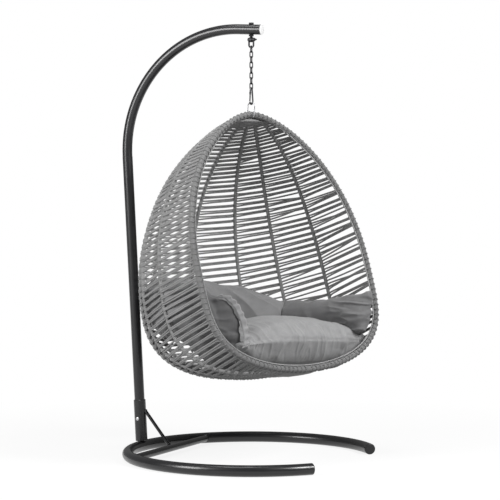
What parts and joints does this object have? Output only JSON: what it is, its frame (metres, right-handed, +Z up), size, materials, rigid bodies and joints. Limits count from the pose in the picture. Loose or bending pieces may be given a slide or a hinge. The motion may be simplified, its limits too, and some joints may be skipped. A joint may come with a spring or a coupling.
{
  "type": "hanging egg chair",
  "caption": "Free-standing hanging egg chair: open ring base, leaning mast and bent arm, short chain, and an egg-shaped rope basket with cushions that sways and turns.",
  "frame": {"origin": "on the floor at the centre of the base ring", "axes": "+Z up, +Y from the ring's centre to the mast, the ring's opening at -Y, the basket's mouth turned 23 degrees from -Y towards -X"},
  "size_m": [1.1657, 1.1356, 1.9541],
  "materials": {
    "black_paint": "glossy black paint",
    "black_plastic": "satin black",
    "pale_cap": "gloss",
    "bolt_steel": "bright zinc",
    "chain_steel": "dull zinc",
    "grey_rope": "round braided plastic rope",
    "grey_fabric": "woven upholstery cloth"
  },
  "bodies": {
    "stand": {"base_ring": "black_paint", "ring_plug_left": "black_plastic", "ring_plug_right": "black_plastic", "base_crossbar": "black_paint", "mast_socket": "black_paint", "mast_tube": "black_paint", "brace_strut": "black_paint", "socket_bolt": "bolt_steel", "socket_nut": "bolt_steel", "arm_tube": "black_paint", "arm_end_cap": "pale_cap", "hanger_bolt": "bolt_steel", "hanger_nut": "bolt_steel"},
    "shackle": {"shackle_bow": "chain_steel", "shackle_pin": "chain_steel"},
    "chain": {"chain_link_1": "chain_steel", "chain_link_2": "chain_steel", "chain_link_3": "chain_steel", "chain_link_4": "chain_steel", "chain_link_5": "chain_steel", "chain_link_6": "chain_steel", "chain_link_7": "chain_steel"},
    "last_link": {"chain_link_8": "chain_steel"},
    "hook": {"snap_hook": "chain_steel", "gate_rivet": "chain_steel"},
    "gate": {"snap_hook_gate": "chain_steel"},
    "basket": {"hanging_bail": "black_paint", "rim_hoop": "grey_rope", "wound_rib_1": "grey_rope", "wound_rib_2": "grey_rope", "wound_rib_3": "grey_rope", "wound_rib_4": "grey_rope", "wound_rib_5": "grey_rope", "wound_rib_6": "grey_rope", "wound_rib_7": "grey_rope", "wound_rib_8": "grey_rope", "rope_bay_1": "grey_rope", "rope_bay_2": "grey_rope", "rope_bay_3": "grey_rope", "rope_bay_4": "grey_rope", "rope_bay_5": "grey_rope", "rope_bay_6": "grey_rope", "rope_bay_7": "grey_rope", "rope_bay_8": "grey_rope", "rope_bay_9": "grey_rope", "crown_wrap": "grey_rope", "base_wrap": "grey_rope", "seat_cushion": "grey_fabric", "back_cushion": "grey_fabric", "side_cushion": "grey_fabric"}
  },
  "joints": [
    {"name": "bolt_to_shackle", "type": "hinge", "parent": "stand", "child": "shackle", "pos_m": [0, 0.0003, 1.87858], "axis": [0, 1, 0], "range_deg": [-5, 5]},
    {"name": "shackle_to_chain", "type": "hinge", "parent": "shackle", "child": "chain", "pos_m": [0, 0.0003, 1.85038], "axis": [1, 0, 0], "range_deg": [-4, 0.25]},
    {"name": "chain_to_last_link", "type": "hinge", "parent": "chain", "child": "last_link", "pos_m": [0, 0.0003, 1.68588], "axis": [0, 1, 0], "range_deg": [-3, 3]},
    {"name": "last_link_to_hook", "type": "hinge", "parent": "last_link", "child": "hook", "pos_m": [0, 0.0003, 1.66338], "axis": [1, 0, 0], "range_deg": [-4, 0.2]},
    {"name": "hook_to_basket", "type": "hinge", "parent": "hook", "child": "basket", "pos_m": [0, 0.0003, 1.59388], "axis": [0, 0, 1], "range_deg": [-24, 60]},
    {"name": "hook_gate", "type": "hinge", "parent": "hook", "child": "gate", "pos_m": [-0.0111, 0.0003, 1.64198], "axis": [0, 1, 0], "range_deg": [-22, 0], "stiffness_Nm_per_rad": 0.05, "springref_deg": 11.46}
  ]
}
